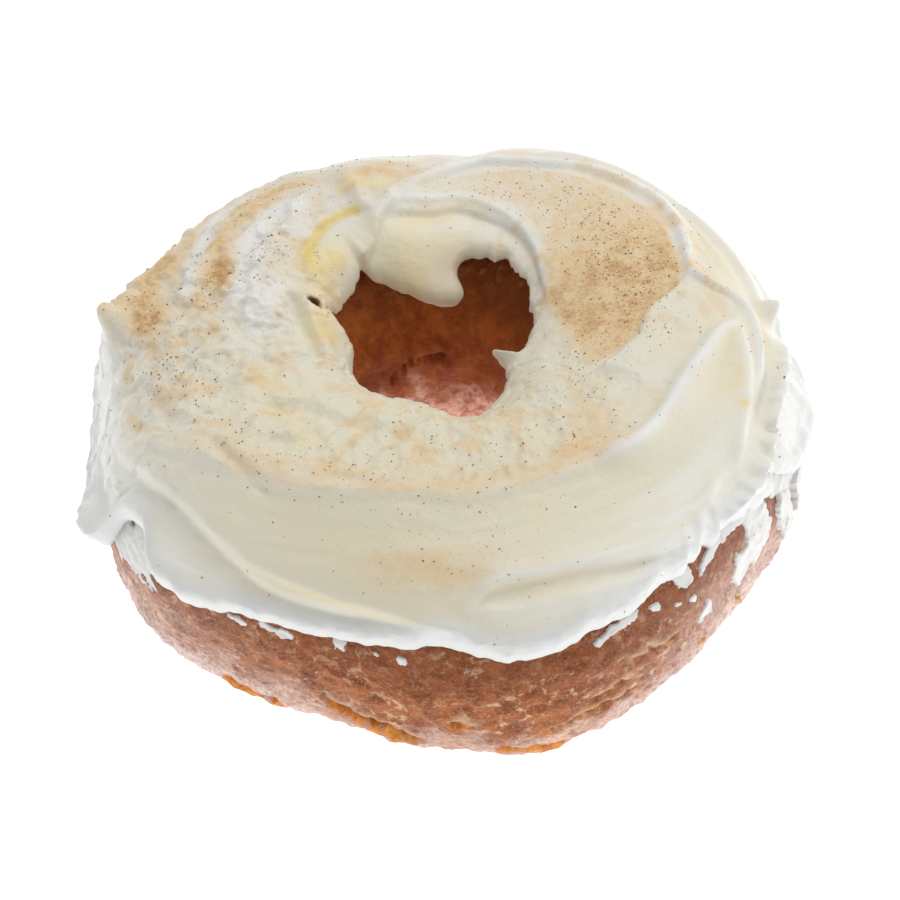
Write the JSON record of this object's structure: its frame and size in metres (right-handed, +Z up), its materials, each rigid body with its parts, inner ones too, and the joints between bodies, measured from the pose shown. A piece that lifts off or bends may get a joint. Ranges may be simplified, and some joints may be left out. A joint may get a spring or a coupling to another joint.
{
  "type": "iced ring doughnut",
  "caption": "Ring doughnut of fried pumpkin dough with a thick coat of knife-spread cream icing over its top, resting on its flat bottom.",
  "frame": {"origin": "under the middle of the whole doughnut, on the plane it rests on", "axes": "+Z up through the hole, -Y toward the side shown in front, +X to its right"},
  "size_m": [0.093, 0.0918, 0.0375],
  "materials": {
    "dough": "fried brown crust with fine sugar specks, stands in for baked dough",
    "icing": "smooth cream icing with a dust of spice, stands in for icing"
  },
  "bodies": {
    "root": {"dough": "dough", "icing": "icing"}
  },
  "joints": []
}
